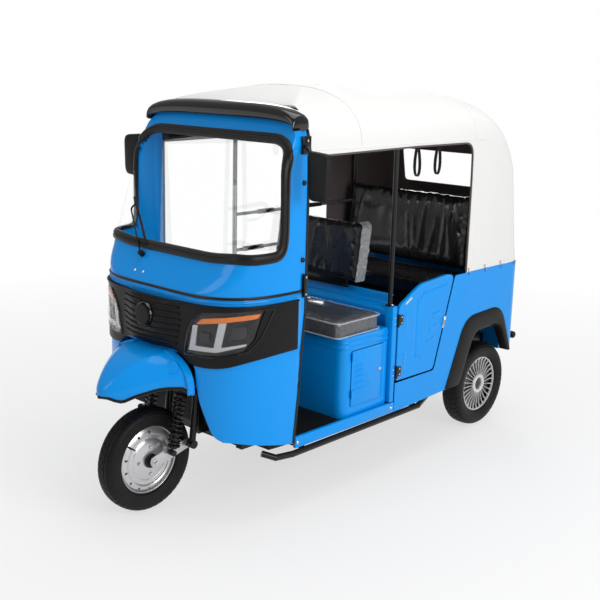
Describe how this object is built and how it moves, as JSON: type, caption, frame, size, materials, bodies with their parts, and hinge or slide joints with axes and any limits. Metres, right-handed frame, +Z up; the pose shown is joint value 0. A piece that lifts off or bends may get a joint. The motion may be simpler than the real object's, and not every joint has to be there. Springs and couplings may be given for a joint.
{
  "type": "auto rickshaw",
  "caption": "Three-wheeled passenger rickshaw: steel cab with handlebar steering, bench behind the driver, vinyl canopy, one half door and a battery under the driver's seat.",
  "frame": {"origin": "centre of the bounding box on the ground plane", "axes": "front towards -Y, the vehicle's left towards +X, up is +Z; the tyres stand on z = 0"},
  "size_m": [1.38, 2.6959, 1.9338],
  "materials": {
    "body_paint": "gloss azure blue",
    "black_paint": "satin black",
    "gloss_black": "gloss black",
    "black_plastic": "fine textured black",
    "lamp_lens": "clear and amber lenses over a dark housing",
    "red_lens": "red lens",
    "seal_rubber": "black with a slight sheen",
    "tyre": "matte black",
    "glass": "clear, faintly green",
    "vinyl": "white coated cloth, dark lining inside",
    "seat_vinyl": "black seat cover",
    "webbing": "woven black webbing",
    "bright_steel": "bright plated tube",
    "silver_paint": "silver",
    "dark_steel": "dark, slightly oily",
    "spring_steel": "dark spring steel",
    "battery_case": "grey case"
  },
  "bodies": {
    "vehicle": {"chassis_frame": "black_paint", "floor_pan": "black_plastic", "lower_cab": "body_paint", "upper_cab": "body_paint", "windscreen_glass": "glass", "windscreen_seal": "seal_rubber", "roof_visor": "gloss_black", "grille_mask": "black_plastic", "headlamps": "lamp_lens", "front_mudguard": "body_paint", "wiper": "black_plastic", "mirrors": "black_plastic", "dashboard": "black_plastic", "seat_box": "body_paint", "driver_cushion": "seat_vinyl", "driver_backrest": "seat_vinyl", "partition": "body_paint", "bench_base": "black_paint", "bench_cushion": "seat_vinyl", "bench_backrest": "seat_vinyl", "left_side_panel": "body_paint", "right_side_panel": "body_paint", "rear_panel": "body_paint", "arch_flares": "black_plastic", "canopy": "vinyl", "canopy_frame": "black_paint", "safety_rails": "bright_steel", "grab_straps": "webbing", "side_guards": "black_paint", "rear_axle": "dark_steel", "leaf_springs": "spring_steel", "tail_lamps": "red_lens", "rear_bumper": "black_paint", "battery_pack": "battery_case"},
    "steering": {"fork": "black_paint", "handlebar": "black_plastic", "link_suspension": "silver_paint"},
    "front_wheel": {"front_tyre": "tyre", "front_rim": "silver_paint"},
    "rear_left_wheel": {"rear_left_tyre": "tyre", "rear_left_rim": "black_paint"},
    "rear_right_wheel": {"rear_right_tyre": "tyre", "rear_right_rim": "black_paint"},
    "passenger_door": {"left_door": "body_paint"},
    "battery_hatch": {"battery_door": "body_paint"}
  },
  "joints": [
    {"name": "steering", "type": "hinge", "parent": "vehicle", "child": "steering", "pos_m": [0, -0.94, 0.6], "axis": [0, 0.3746, 0.9272], "range_deg": [-35, 35]},
    {"name": "front_wheel_spin", "type": "hinge", "parent": "steering", "child": "front_wheel", "pos_m": [0, -1.1, 0.245], "axis": [1, 0, 0], "continuous": true},
    {"name": "rear_left_wheel_spin", "type": "hinge", "parent": "vehicle", "child": "rear_left_wheel", "pos_m": [0.4, 1, 0.245], "axis": [1, 0, 0], "continuous": true},
    {"name": "rear_right_wheel_spin", "type": "hinge", "parent": "vehicle", "child": "rear_right_wheel", "pos_m": [-0.4, 1, 0.245], "axis": [1, 0, 0], "continuous": true},
    {"name": "left_door_hinge", "type": "hinge", "parent": "vehicle", "child": "passenger_door", "pos_m": [0.516, 0.104, 0.6], "axis": [0, 0, -1], "range_deg": [0, 100]},
    {"name": "battery_hatch_hinge", "type": "hinge", "parent": "vehicle", "child": "battery_hatch", "pos_m": [0.496, -0.222, 0.56], "axis": [0, 0, -1], "range_deg": [0, 100]}
  ]
}
